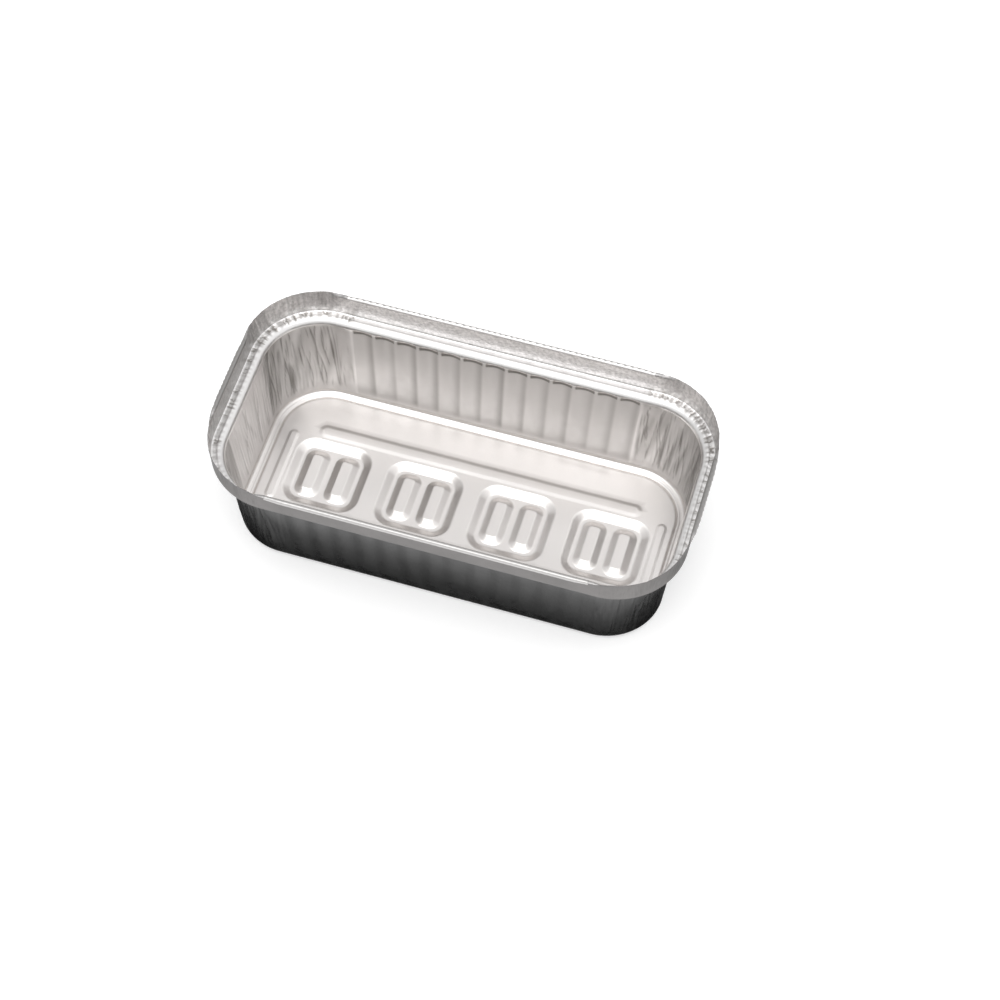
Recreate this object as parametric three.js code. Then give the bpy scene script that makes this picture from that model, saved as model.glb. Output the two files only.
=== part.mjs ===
// An oblong foil loaf pan, pressed from one thin aluminium sheet.
//
// The sheet is modelled as its formed zones: an embossed floor inside a heel ring, fluted long
// walls, gathered end walls and corners, a flat ledge, plain collar corners and four straight
// flanges. Each flange has a rolled curl and folds inwards about the ledge, to hold a board lid.
//
// Millimetres, +Z up. The origin is under the middle of the floor, on the plane that the pan
// stands on with its four sunk pads. +X runs along the pan and -Y faces the front.

import * as THREE from "three";

// Sheet
const foil = 0.1;

// Rim, outside sizes of the upright collar
const collarLength = 200;
const collarWidth = 102.5;
const collarRadius = 30;
const ledgeHeight = 48.75;
const collarRise = 11.5;
const curlDiameter = 2.2;
const curlSweep = 300;
const cornerEdgeDrop = 0.9;
const cornerFlare = 1.2;

// Folding flanges
const flangeSetBack = 3;
const flangeEndGap = 0.3;
const hingeGap = 0.1;

// Ledge and walls
const ledgeFlat = 2.4;
const ledgeEdgeRadius = 3.2;
const sideTaper = 2.76;
const endTaper = 2.41;
const heelRadius = 1.5;

// Flutes of the long walls, and gathers of the end walls and corners
const flutePitch = 9.45;
const fluteDepth = 0.8;
const fluteRib = 1.4;
const fluteEndMargin = 4;
const gatherPitch = 6.4;
const gatherDepth = 0.25;

// Heel ring, a narrow groove pressed down round the floor
const grooveDepth = 0.65;
const grooveLead = 0.3;
const grooveSlope = 1.05;
const grooveFlat = 0.4;
const grooveLand = 0.5;

// The floor pattern lies a little off the middle of the floor
const patternShiftX = 0.67;
const patternShiftY = -0.19;

// Floor beads, pressed up
const longBeadRise = 0.7;
const longBeadSlope = 2.4;
const longBeadWidth = 5;
const longBeadInset = 16.5;
const longBeadEndInset = 15.6;
const endBeadRise = 0.6;
const endBeadSlope = 1.6;
const endBeadWidth = 3.5;
const endBeadInset = 4.1;
const endBeadEndGap = 3.6;

// Sunk pads in a row along the floor, each with two raised ribs
const padCount = 4;
const padDepth = 2;
const padSlope = 4.4;
const padCornerRadius = 8.5;
const padGap = 6.5;
const padRowEndGap = 0.65;
const padSideGap = 0.4;
const ribsPerPad = 2;
const ribRise = 1.8;
const ribSlope = 3.9;
const ribGap = 1.6;
const ribSideMargin = 0.6;
const ribEndMargin = 0.55;

// Facets of the round stretches
const cornerSteps = 10;
const edgeSteps = 4;
const heelSteps = 2;
const padCornerSteps = 4;
const beadEndSteps = 4;
const curlSteps = 10;

const samePoint = foil / 10;
const degrees = Math.PI / 180;
const quarterTurn = 90 * degrees;
const sideNames = ["front", "right", "back", "left"];
const cornerNames = ["front_right", "back_right", "back_left", "front_left"];

// Levels that follow from the sizes above
const floorTop = padDepth + foil;
const grooveTop = floorTop - grooveDepth;
const wallDrop = ledgeHeight - ledgeEdgeRadius - floorTop - heelRadius;
const wallLean = Math.atan2((sideTaper + endTaper) / 2, wallDrop);
const ledgeReach = foil + ledgeFlat + ledgeEdgeRadius * Math.cos(wallLean);
const wallRadius = collarRadius - ledgeReach;
const grooveReach = grooveLead + 2 * grooveSlope + grooveFlat + grooveLand;
const panelHalfLength = collarLength / 2 - ledgeReach - endTaper - heelRadius - grooveReach;
const panelHalfWidth = collarWidth / 2 - ledgeReach - sideTaper - heelRadius - grooveReach;

// Foil finishes: the floor and ledge are the brightest, the fluted walls a little greyer.
function foilMaterial(brightness, roughness) {
  const colour = new THREE.Color().setRGB(brightness, brightness, brightness * 0.985);
  return new THREE.MeshStandardMaterial({ color: colour, metalness: 1, roughness });
}

const finishes = {
  floor: () => foilMaterial(0.9, 0.28),
  wall: () => foilMaterial(0.78, 0.32),
  ledge: () => foilMaterial(0.88, 0.3),
  collar: () => foilMaterial(0.8, 0.3),
  curl: () => foilMaterial(0.86, 0.25),
};

const pan = new THREE.Group();

function addPiece(name, geometry, finish, parent = pan) {
  const mesh = new THREE.Mesh(geometry, finishes[finish]());
  mesh.name = name;
  parent.add(mesh);
  return mesh;
}

// A closed solid between two skins that share one set of triangles. The triangles face out of
// the upper skin, and the open edges of the skins are joined by side faces.
function sheetSolid(upper, lower, triangles) {
  const count = upper.length;
  const faces = [];
  const edges = new Map();
  for (const [a, b, c] of triangles) {
    faces.push([a, b, c], [count + a, count + c, count + b]);
    for (const [from, to] of [[a, b], [b, c], [c, a]]) {
      const twin = to + "_" + from;
      if (!edges.delete(twin)) edges.set(from + "_" + to, [from, to]);
    }
  }
  for (const [from, to] of edges.values()) {
    faces.push([to, from, count + from], [to, count + from, count + to]);
  }
  const geometry = new THREE.BufferGeometry();
  geometry.setFromPoints([...upper, ...lower]);
  geometry.setIndex(faces.flat());
  geometry.computeVertexNormals();
  return geometry;
}

// One level of the pan's side, seen in section. The insets are measured in from the collar's
// outside face, and out and down point from the inner skin to the outer one.
function station(sideInset, endInset, radius, z, out, down) {
  return { sideInset, endInset, radius, z, out, down };
}

function ledgeStations() {
  const levels = [station(foil, foil, collarRadius - foil, ledgeHeight, 1, 1)];
  const turn = quarterTurn - wallLean;
  for (let i = 0; i <= edgeSteps; i++) {
    const angle = (turn * i) / edgeSteps;
    const inset = foil + ledgeFlat + ledgeEdgeRadius * Math.sin(angle);
    const z = ledgeHeight - ledgeEdgeRadius * (1 - Math.cos(angle));
    levels.push(station(inset, inset, collarRadius - inset, z, Math.sin(angle), Math.cos(angle)));
  }
  return levels;
}

// A level of the wall, from 0 at the heel to 1 under the ledge.
function wallStation(share) {
  const top = ledgeStations().at(-1);
  const bottom = floorTop + heelRadius;
  const sideInset = ledgeReach + sideTaper * (1 - share);
  const endInset = ledgeReach + endTaper * (1 - share);
  const z = bottom + (top.z - bottom) * share;
  return station(sideInset, endInset, wallRadius, z, Math.cos(wallLean), Math.sin(wallLean));
}

function heelStations() {
  const heelSide = ledgeReach + sideTaper;
  const heelEnd = ledgeReach + endTaper;
  const levels = [wallStation(0)];
  for (let i = 1; i <= heelSteps; i++) {
    const angle = (quarterTurn * i) / heelSteps;
    const step = heelRadius * (1 - Math.cos(angle));
    const z = floorTop + heelRadius * (1 - Math.sin(angle));
    const radius = wallRadius - step;
    const out = Math.cos(angle);
    levels.push(station(heelSide + step, heelEnd + step, radius, z, out, Math.sin(angle)));
  }
  let reach = heelRadius;
  const grooveSteps = [
    [grooveLead, floorTop],
    [grooveSlope, grooveTop],
    [grooveFlat, grooveTop],
    [grooveSlope, floorTop],
    [grooveLand, floorTop],
  ];
  for (const [step, z] of grooveSteps) {
    reach += step;
    levels.push(station(heelSide + reach, heelEnd + reach, wallRadius - reach, z, 0, 1));
  }
  return levels;
}

function collarStations(topEdge) {
  const fold = ledgeStations()[0];
  return [fold, station(foil, foil, collarRadius - foil, topEdge, 1, 0)];
}

// Outward direction of side number k: the front first, then counter-clockwise.
function outward(k, turn = 0) {
  const angle = quarterTurn * (k - 1 + turn);
  return new THREE.Vector3(Math.cos(angle), Math.sin(angle), 0);
}

function sideDistance(level, k) {
  const alongWidth = k % 2 === 0;
  return alongWidth ? collarWidth / 2 - level.sideInset : collarLength / 2 - level.endInset;
}

// Half the straight stretch of side number k at one level.
function straightHalf(level, k) {
  return sideDistance(level, (k + 1) % 4) - level.radius;
}

// A place on the straight stretch of side k, from -1 to 1 along it.
function sidePlace(level, k, along) {
  const normal = outward(k);
  const point = normal.clone().multiplyScalar(sideDistance(level, k));
  point.addScaledVector(outward(k + 1), along * straightHalf(level, k));
  return { point: point.setZ(level.z), normal };
}

// A place on the round corner after side k, from 0 to 1 along its arc.
function cornerPlace(level, k, along) {
  const normal = outward(k, along);
  const next = (k + 1) % 4;
  const point = outward(k).multiplyScalar(sideDistance(level, k) - level.radius);
  point.addScaledVector(outward(k + 1), sideDistance(level, next) - level.radius);
  point.addScaledVector(normal, level.radius);
  return { point: point.setZ(level.z), normal };
}

// A sheet over a grid of places: levels run up the section and places run along the pan's side.
// press moves a place outwards, for flutes and gathers.
function stripSolid(levels, places, closed = false, press = () => 0) {
  const upper = [];
  const lower = [];
  levels.forEach((level, row) => {
    places.forEach((place, column) => {
      const { point, normal } = place(level);
      point.addScaledVector(normal, press(row, column));
      upper.push(point);
      const across = normal.clone().multiplyScalar(level.out).setZ(-level.down);
      lower.push(point.clone().addScaledVector(across, foil));
    });
  });
  const width = places.length;
  const columns = closed ? width : width - 1;
  const triangles = [];
  for (let row = 0; row + 1 < levels.length; row++) {
    for (let column = 0; column < columns; column++) {
      const next = (column + 1) % width;
      const [a, b] = [row * width + column, row * width + next];
      const [c, d] = [a + width, b + width];
      triangles.push([a, d, b], [a, c, d]);
    }
  }
  return sheetSolid(upper, lower, triangles);
}

function evenSteps(count, low, high) {
  return Array.from({ length: count + 1 }, (_, i) => low + ((high - low) * i) / count);
}

function sidePlaces(k, alongs) {
  return alongs.map((along) => (level) => sidePlace(level, k, along));
}

function cornerPlaces(k) {
  return evenSteps(cornerSteps, 0, 1).map((along) => (level) => cornerPlace(level, k, along));
}

function roundPlaces() {
  const all = [];
  for (let k = 0; k < 4; k++) all.push(...cornerPlaces(k));
  return all;
}

// Closed outline of a rectangle with round corners, counter-clockwise.
function roundedOutline(halfLength, halfWidth, radius, steps) {
  const outline = [];
  for (let k = 0; k < 4; k++) {
    const centreX = (halfLength - radius) * (k === 0 || k === 3 ? 1 : -1);
    const centreY = (halfWidth - radius) * (k < 2 ? 1 : -1);
    for (let i = 0; i <= steps; i++) {
      const angle = quarterTurn * (k + i / steps);
      const x = centreX + radius * Math.cos(angle);
      const y = centreY + radius * Math.sin(angle);
      outline.push(new THREE.Vector2(x, y));
    }
  }
  return outline.filter((point, i) => point.distanceTo(outline.at(i - 1)) > samePoint);
}

// Collects an embossed skin from outlines at their heights.
function embossing() {
  const upper = [];
  const triangles = [];
  function loop(outline, centre, z) {
    const first = upper.length;
    outline.forEach((p) => upper.push(new THREE.Vector3(p.x + centre.x, p.y + centre.y, z)));
    return outline.map((_, i) => first + i);
  }
  function slope(outer, inner) {
    outer.forEach((a, i) => {
      const next = (i + 1) % outer.length;
      triangles.push([a, outer[next], inner[next]], [a, inner[next], inner[i]]);
    });
  }
  function flat(outline, holes = []) {
    const around = outline.map((i) => new THREE.Vector2(upper[i].x, upper[i].y));
    const clockwise = holes.map((hole) => [...hole].reverse());
    const inside = clockwise.map((hole) => hole.map((i) => new THREE.Vector2(upper[i].x, upper[i].y)));
    const order = [...outline, ...clockwise.flat()];
    for (const corners of THREE.ShapeUtils.triangulateShape(around, inside)) {
      triangles.push(corners.map((i) => order[i]));
    }
  }
  function solid() {
    const down = new THREE.Vector3(0, 0, -foil);
    return sheetSolid(upper, upper.map((p) => p.clone().add(down)), triangles);
  }
  return { loop, slope, flat, solid };
}

// Sizes of the floor pattern, from the panel inwards
const longBeadReach = panelHalfWidth - Math.abs(patternShiftY) - longBeadInset;
const longBeadHalfLength = panelHalfLength - longBeadEndInset;
const endBeadReach = panelHalfLength - Math.abs(patternShiftX) - endBeadInset;
const endBeadHalfLength = longBeadReach - endBeadEndGap;
const padRowHalf = endBeadReach - (endBeadWidth + endBeadSlope) / 2 - padRowEndGap;
const padLength = (2 * padRowHalf - (padCount - 1) * padGap) / padCount;
const padWidth = 2 * (longBeadReach - (longBeadWidth + longBeadSlope) / 2 - padSideGap);
const padBedLength = padLength - 2 * padSlope;
const padBedWidth = padWidth - 2 * padSlope;
const ribSpace = padBedLength - 2 * ribSideMargin - (ribsPerPad - 1) * ribGap;
const ribWidth = ribSpace / ribsPerPad;
const ribLength = padBedWidth - 2 * ribEndMargin;

const floorCentre = new THREE.Vector2(0, 0);

function slotOutline(length, width) {
  return roundedOutline(length / 2, width / 2, Math.min(length, width) / 2, beadEndSteps);
}

function padOutline(length, width, radius) {
  return roundedOutline(length / 2, width / 2, radius, padCornerSteps);
}

// Beads: outline at the floor, slope up to a narrow flat crest.
const beads = [
  { name: "floor_bead_front", x: 0, y: -longBeadReach, long: true },
  { name: "floor_bead_back", x: 0, y: longBeadReach, long: true },
  { name: "floor_bead_left", x: -endBeadReach, y: 0, long: false },
  { name: "floor_bead_right", x: endBeadReach, y: 0, long: false },
];

function beadCentre(bead) {
  return new THREE.Vector2(patternShiftX + bead.x, patternShiftY + bead.y);
}

// The bead's outline at its base (side 1) or at its crest (side -1).
function beadOutline(bead, side) {
  const widening = side * (bead.long ? longBeadSlope : endBeadSlope);
  if (bead.long) return slotOutline(2 * longBeadHalfLength + widening, longBeadWidth + widening);
  return slotOutline(endBeadWidth + widening, 2 * endBeadHalfLength + widening);
}

function buildBead(bead) {
  const rise = bead.long ? longBeadRise : endBeadRise;
  const skin = embossing();
  const base = skin.loop(beadOutline(bead, 1), beadCentre(bead), floorTop);
  const crest = skin.loop(beadOutline(bead, -1), beadCentre(bead), floorTop + rise);
  skin.slope(base, crest);
  skin.flat(crest);
  addPiece(bead.name, skin.solid(), "floor");
}

// Pads: outline at the floor, slope down to a flat bed, and ribs raised on that bed.
function padCentre(n) {
  const pitch = padLength + padGap;
  return new THREE.Vector2(patternShiftX + (n - (padCount - 1) / 2) * pitch, patternShiftY);
}

function buildPad(n) {
  const centre = padCentre(n);
  const skin = embossing();
  const rim = skin.loop(padOutline(padLength, padWidth, padCornerRadius), centre, floorTop);
  const bed = skin.loop(padOutline(padBedLength, padBedWidth, padCornerRadius - padSlope), centre, foil);
  skin.slope(rim, bed);
  const ribBases = [];
  for (let i = 0; i < ribsPerPad; i++) {
    const offset = (i - (ribsPerPad - 1) / 2) * (ribWidth + ribGap);
    const middle = new THREE.Vector2(centre.x + offset, centre.y);
    const base = skin.loop(slotOutline(ribWidth, ribLength), middle, foil);
    const crestOutline = slotOutline(ribWidth - 2 * ribSlope, ribLength - 2 * ribSlope);
    const crest = skin.loop(crestOutline, middle, foil + ribRise);
    skin.slope(base, crest);
    skin.flat(crest);
    ribBases.push(base);
  }
  skin.flat(bed, ribBases);
  addPiece("floor_pad_" + (n + 1), skin.solid(), "floor");
}

// Flat floor between the heel ring, the beads and the pads.
function buildPanel() {
  const skin = embossing();
  const edge = heelStations().at(-1);
  const rimPoints = roundPlaces().map((place) => place(edge).point);
  const rim = skin.loop(rimPoints, floorCentre, floorTop);
  const holes = beads.map((bead) => skin.loop(beadOutline(bead, 1), beadCentre(bead), floorTop));
  for (let n = 0; n < padCount; n++) {
    holes.push(skin.loop(padOutline(padLength, padWidth, padCornerRadius), padCentre(n), floorTop));
  }
  skin.flat(rim, holes);
  addPiece("floor_panel", skin.solid(), "floor");
}

// Long walls: a row of flutes pressed outwards, each with an arched top. The levels are shares of
// the wall's height, and the section gives shares of a flute's width and depth.
const fluteLevels = [0, 0.07, 0.84, 0.92, 1];
const fluteFoot = 1;
const fluteShoulder = 2;
const fluteCrown = 3;
const fluteSection = [
  { across: 0, bulge: 0 },
  { across: 0.25, bulge: 0.85 },
  { across: 0.5, bulge: 1 },
  { across: 0.75, bulge: 0.85 },
  { across: 1, bulge: 0 },
];

function buildLongWall(k) {
  const heel = wallStation(0);
  const half = straightHalf(heel, k);
  const count = Math.floor((2 * (half - fluteEndMargin)) / flutePitch);
  const fluteWidth = flutePitch - fluteRib;
  const spots = [{ along: -1, bulge: 0 }];
  for (let i = 0; i < count; i++) {
    const start = (i - count / 2) * flutePitch + fluteRib / 2;
    for (const { across, bulge } of fluteSection) {
      spots.push({ along: (start + fluteWidth * across) / half, bulge });
    }
  }
  spots.push({ along: 1, bulge: 0 });
  const levels = fluteLevels.map(wallStation);
  function press(row, column) {
    const { bulge } = spots[column];
    const topRow = bulge === 1 ? fluteCrown : fluteShoulder;
    return row >= fluteFoot && row <= topRow ? fluteDepth * bulge : 0;
  }
  const places = sidePlaces(k, spots.map((spot) => spot.along));
  addPiece("wall_" + sideNames[k], stripSolid(levels, places, false, press), "wall");
}

// Gathers: shallow upright pleats that die out at the heel and under the ledge.
const gatherLevels = [0, 0.12, 0.88, 1];

function gatherPress(row, column) {
  const inPleat = row > 0 && row < gatherLevels.length - 1;
  return inPleat && column % 2 === 1 ? gatherDepth : 0;
}

function buildEndWall(k) {
  const half = straightHalf(wallStation(0), k);
  const pleats = Math.max(1, Math.round((2 * half) / gatherPitch));
  const levels = gatherLevels.map(wallStation);
  const places = sidePlaces(k, evenSteps(2 * pleats, -1, 1));
  addPiece("wall_" + sideNames[k], stripSolid(levels, places, false, gatherPress), "wall");
}

function buildCornerWall(k) {
  const levels = gatherLevels.map(wallStation);
  const name = "wall_corner_" + cornerNames[k];
  addPiece(name, stripSolid(levels, cornerPlaces(k), false, gatherPress), "wall");
}

// Ledge, upper edge first, so its grid runs the other way up.
function buildLedge(k) {
  const levels = ledgeStations().reverse();
  const side = stripSolid(levels, sidePlaces(k, [-1, 1]));
  addPiece("ledge_" + sideNames[k], side, "ledge");
  addPiece("ledge_corner_" + cornerNames[k], stripSolid(levels, cornerPlaces(k)), "ledge");
}

// Plain collar round a corner. Its top edge flares out at the middle of the corner, and it runs a
// little way along both sides, to the flanges.
function buildCollarCorner(k) {
  const levels = collarStations(ledgeHeight + collarRise - cornerEdgeDrop);
  const reach = flangeSetBack - flangeEndGap;
  const before = (level) => sidePlace(level, k, 1 - reach / straightHalf(level, k));
  const next = (k + 1) % 4;
  const after = (level) => sidePlace(level, next, reach / straightHalf(level, next) - 1);
  const places = [before, ...cornerPlaces(k), after];
  function flare(row, column) {
    const along = THREE.MathUtils.clamp((column - 1) / cornerSteps, 0, 1);
    return row === 0 ? 0 : cornerFlare * Math.sin(Math.PI * along);
  }
  const sheet = stripSolid(levels, places, false, flare);
  addPiece("collar_corner_" + cornerNames[k], sheet, "collar");
}

// Straight flange with its rolled curl. In the group's frame x runs along the fold, -y points
// out of the pan and the origin is on the fold line.
function buildFlange(k) {
  const fold = ledgeStations()[0];
  const length = 2 * (straightHalf(fold, k) - flangeSetBack);
  const curlRadius = curlDiameter / 2;
  const strip = collarRise - hingeGap - curlRadius;
  const group = new THREE.Group();
  group.position.copy(outward(k)).multiplyScalar(sideDistance(fold, k));
  group.position.z = ledgeHeight + hingeGap;
  group.rotation.z = quarterTurn * k;
  pan.add(group);

  const sheet = new THREE.BoxGeometry(length, foil, strip);
  const flange = addPiece("flange_" + sideNames[k], sheet, "collar", group);
  flange.position.set(0, -foil / 2, strip / 2);

  const section = new THREE.Shape();
  const sweep = curlSweep * degrees;
  section.absarc(curlRadius, 0, curlRadius, Math.PI, Math.PI - sweep, true);
  section.absarc(curlRadius, 0, curlRadius - foil, Math.PI - sweep, Math.PI, false);
  const options = { depth: length, bevelEnabled: false, curveSegments: curlSteps };
  const roll = new THREE.ExtrudeGeometry(section, options);
  const curl = addPiece("curl_" + sideNames[k], roll, "curl", group);
  curl.position.set(length / 2, 0, strip);
  curl.rotation.set(quarterTurn, -quarterTurn, 0);
}

const heelRing = stripSolid(heelStations().reverse(), roundPlaces(), true);
addPiece("heel_ring", heelRing, "floor");
buildPanel();
beads.forEach(buildBead);
for (let n = 0; n < padCount; n++) buildPad(n);
for (const k of [0, 2]) buildLongWall(k);
for (const k of [1, 3]) buildEndWall(k);
for (let k = 0; k < 4; k++) {
  buildCornerWall(k);
  buildLedge(k);
  buildCollarCorner(k);
  buildFlange(k);
}

export default pan;
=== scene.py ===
import math

import bpy
import numpy as np
from mathutils import Matrix, Vector
from mathutils.geometry import delaunay_2d_cdt


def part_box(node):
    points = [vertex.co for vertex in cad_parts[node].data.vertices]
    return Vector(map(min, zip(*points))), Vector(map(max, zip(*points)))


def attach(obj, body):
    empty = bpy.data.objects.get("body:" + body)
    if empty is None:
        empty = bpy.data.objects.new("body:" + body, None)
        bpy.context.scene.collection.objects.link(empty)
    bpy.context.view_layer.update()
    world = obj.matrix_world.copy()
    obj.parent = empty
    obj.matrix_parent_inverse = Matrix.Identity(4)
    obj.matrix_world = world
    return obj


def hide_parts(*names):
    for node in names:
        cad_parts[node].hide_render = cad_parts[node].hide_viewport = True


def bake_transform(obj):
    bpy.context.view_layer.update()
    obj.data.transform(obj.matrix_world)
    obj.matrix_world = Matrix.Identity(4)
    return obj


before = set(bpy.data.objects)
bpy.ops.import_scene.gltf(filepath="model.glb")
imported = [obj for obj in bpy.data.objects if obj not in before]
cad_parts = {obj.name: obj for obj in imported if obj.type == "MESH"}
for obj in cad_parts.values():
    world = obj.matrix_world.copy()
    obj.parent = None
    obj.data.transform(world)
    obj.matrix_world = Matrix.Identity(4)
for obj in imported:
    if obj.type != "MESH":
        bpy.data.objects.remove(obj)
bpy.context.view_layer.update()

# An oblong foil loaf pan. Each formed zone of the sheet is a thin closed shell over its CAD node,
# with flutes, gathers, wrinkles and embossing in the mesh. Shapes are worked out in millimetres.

MM = 0.001
SIDES = ["front", "right", "back", "left"]
CORNERS = ["front_right", "back_right", "back_left", "front_left"]
QUARTER = math.pi / 2
draw = np.random.RandomState(11)


def low(node):
    return np.array(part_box(node)[0]) / MM


def high(node):
    return np.array(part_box(node)[1]) / MM


# Sizes read from the frame
half_length = high("collar_corner_front_right")[0]
half_width = -low("flange_front")[1]
foil = high("flange_front")[1] - low("flange_front")[1]
ledge_height = high("ledge_front")[2]
corner_radius = half_length - high("ledge_front")[0]
corner_top = high("collar_corner_front_right")[2]
flange_top = high("flange_front")[2]
flange_half = [high("flange_front")[0], high("flange_right")[1]] * 2
curl_radius = high("curl_front")[2] - flange_top
floor_top = high("floor_panel")[2]
heel_top = high("heel_ring")[2]
heel_radius = heel_top - floor_top
groove_top = low("heel_ring")[2] + foil
panel_half_length = high("floor_panel")[0]
panel_half_width = high("floor_panel")[1]
ledge_reach = half_width + high("ledge_front")[1]

# Section of the sheet, as in the solids
ledge_flat = 2.4
ledge_edge_radius = 3.2
groove_land = 0.5
groove_slope = 1.05
groove_flat = 0.4
groove_lead = 0.3
ring_width = heel_radius + groove_land + 2 * groove_slope + groove_flat + groove_lead
side_taper = half_width - ledge_reach - ring_width - panel_half_width
end_taper = half_length - ledge_reach - ring_width - panel_half_length
wall_radius = corner_radius - ledge_reach
wall_drop = ledge_height - ledge_edge_radius - heel_top
wall_lean = math.atan2((side_taper + end_taper) / 2, wall_drop)
edge_turn = QUARTER - wall_lean
wall_top = ledge_height - ledge_edge_radius * (1 - math.cos(edge_turn))


def smooth(x):
    x = np.clip(x, 0.0, 1.0)
    return x * x * (3 - 2 * x)


def ramp_up(x):
    """A straight slope from 0 to 1 with short rounded ends."""
    ease = 0.22
    x = np.clip(x, 0.0, 1.0)
    rise = 1 / (1 - ease)
    start = rise * x * x / (2 * ease)
    end = 1 - rise * (1 - x) ** 2 / (2 * ease)
    return np.where(x < ease, start, np.where(x > 1 - ease, end, rise * (x - ease / 2)))


def unit(v):
    return v / np.maximum(np.linalg.norm(v, axis=-1, keepdims=True), 1e-12)


def outward(turn):
    """Level direction out of a side, by its number, or out of a corner, by a number between."""
    angle = QUARTER * (np.asarray(turn, float) - 1)
    return np.stack([np.cos(angle), np.sin(angle), np.zeros_like(angle)], axis=-1)


# Rows of the side: panel edge, groove, heel, wall, ledge edge, ledge, fold line
def stretch(*ends_and_counts):
    """Values from each start to its end in count steps, each value once."""
    values = []
    for start, end, count in ends_and_counts:
        values.extend(np.linspace(start, end, count + 1)[1 if values else 0:])
    return np.array(values)


wall_foot = 0.2
wall_head = 0.86
heel_steps = 6
edge_steps = 14
flat_steps = 9
groove_outer = heel_radius + groove_lead
groove_inner = groove_outer + 2 * groove_slope + groove_flat
ring_reach = stretch(
    (ring_width, groove_inner, 2),
    (groove_inner, groove_inner - groove_slope, 6),
    (groove_inner - groove_slope, groove_outer + groove_slope, 2),
    (groove_outer + groove_slope, groove_outer, 6),
    (groove_outer, heel_radius, 1),
)
trench = smooth((ring_reach - groove_outer) / groove_slope)
trench = trench * smooth((groove_inner - ring_reach) / groove_slope)
ring_z = floor_top - (floor_top - groove_top) * trench
heel_angle = np.linspace(QUARTER, 0, heel_steps + 1)[1:]
heel_reach = heel_radius * (1 - np.cos(heel_angle))
heel_z = floor_top + heel_radius * (1 - np.sin(heel_angle))
wall_share = stretch((0, wall_foot, 10), (wall_foot, wall_head, 12), (wall_head, 1, 14))[1:]
edge_angle = np.linspace(edge_turn, 0, edge_steps + 1)[1:]
edge_inset = foil + ledge_flat + ledge_edge_radius * np.sin(edge_angle)
edge_z = ledge_height - ledge_edge_radius * (1 - np.cos(edge_angle))
flat_inset = np.linspace(foil + ledge_flat, foil, flat_steps + 1)[1:]

ring_rows = np.concatenate([ring_reach, heel_reach])
side_inset = np.concatenate([
    ledge_reach + side_taper + ring_rows,
    ledge_reach + side_taper * (1 - wall_share),
    edge_inset,
    flat_inset,
])
end_inset = np.concatenate([
    ledge_reach + end_taper + ring_rows,
    ledge_reach + end_taper * (1 - wall_share),
    edge_inset,
    flat_inset,
])
row_radius = np.concatenate([
    wall_radius - ring_rows,
    np.full(len(wall_share), wall_radius),
    corner_radius - edge_inset,
    corner_radius - flat_inset,
])
row_z = np.concatenate([
    ring_z,
    heel_z,
    heel_top + (wall_top - heel_top) * wall_share,
    edge_z,
    np.full(len(flat_inset), ledge_height),
])
heel_row = len(ring_rows) - 1
wall_top_row = heel_row + len(wall_share)
fold_row = len(row_z) - 1
rows = np.arange(len(row_z))
share = np.clip((row_z - heel_top) / (wall_top - heel_top), 0, 1)
wall_mask = ((rows >= heel_row) & (rows <= wall_top_row)).astype(float)
run = np.concatenate([[0], np.cumsum(np.hypot(np.diff(side_inset), np.diff(row_z)))])
run = run - run[heel_row]
wall_run = run[wall_top_row]


# Columns round the pan: straight sides and corners in turn, counter-clockwise from the front
flute_pitch = 9.45
flute_margin = 4.0
# Columns of one flute, as shares of its pitch, closer together at its ribs
rib_steps = [0, 0.04, 0.075, 0.11, 0.15, 0.2, 0.29, 0.39, 0.5, 0.61, 0.71, 0.8, 0.85, 0.89, 0.925, 0.96]
lead_columns = 10
corner_columns = 90
end_columns = 84

heel_half = half_length - ledge_reach - end_taper - wall_radius
flute_count = int(2 * (heel_half - flute_margin) // flute_pitch)
flute_start = -flute_count * flute_pitch / 2


def long_side_alongs():
    lead = np.linspace(-heel_half, flute_start, lead_columns + 1)[:-1]
    flutes = [flute_start + flute_pitch * (i + t) for i in range(flute_count) for t in rib_steps]
    tail = -lead[::-1]
    return np.concatenate([lead, flutes, [-flute_start], tail]) / heel_half


side_alongs = [long_side_alongs(), np.linspace(-1, 1, end_columns + 1)] * 2
corner_alongs = np.linspace(0, 1, corner_columns + 1)[1:-1]
column_side = []
column_along = []
column_round = []
first_column = []
for k in range(4):
    first_column.append(len(column_side))
    column_side += [k] * (len(side_alongs[k]) + len(corner_alongs))
    column_along += [*side_alongs[k], *corner_alongs]
    column_round += [False] * len(side_alongs[k]) + [True] * len(corner_alongs)
column_side = np.array(column_side)
column_along = np.array(column_along)
column_round = np.array(column_round)
columns = len(column_side)


def side_distance(k, side_insets, end_insets):
    return half_width - side_insets if k % 2 == 0 else half_length - end_insets


def lay_out(sides, alongs, rounds, side_insets, end_insets, radii, heights):
    """Places of a grid of levels by columns, and the columns' outward directions."""
    shape = (len(heights), len(sides), 3)
    places = np.zeros(shape)
    normals = np.zeros(shape)
    for c, (k, along, is_round) in enumerate(zip(sides, alongs, rounds)):
        here = side_distance(k, side_insets, end_insets)
        beyond = side_distance((k + 1) % 4, side_insets, end_insets) - radii
        ahead, across = outward(k), outward(k + 1)
        if is_round:
            normal = outward(k + along)
            hub = np.outer(here - radii, ahead) + np.outer(beyond, across)
            places[:, c] = hub + np.outer(radii, normal)
        else:
            normal = ahead
            places[:, c] = np.outer(here, ahead) + np.outer(beyond * along, across)
        normals[:, c] = normal
    places[:, :, 2] = heights[:, None]
    return places, normals


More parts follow.
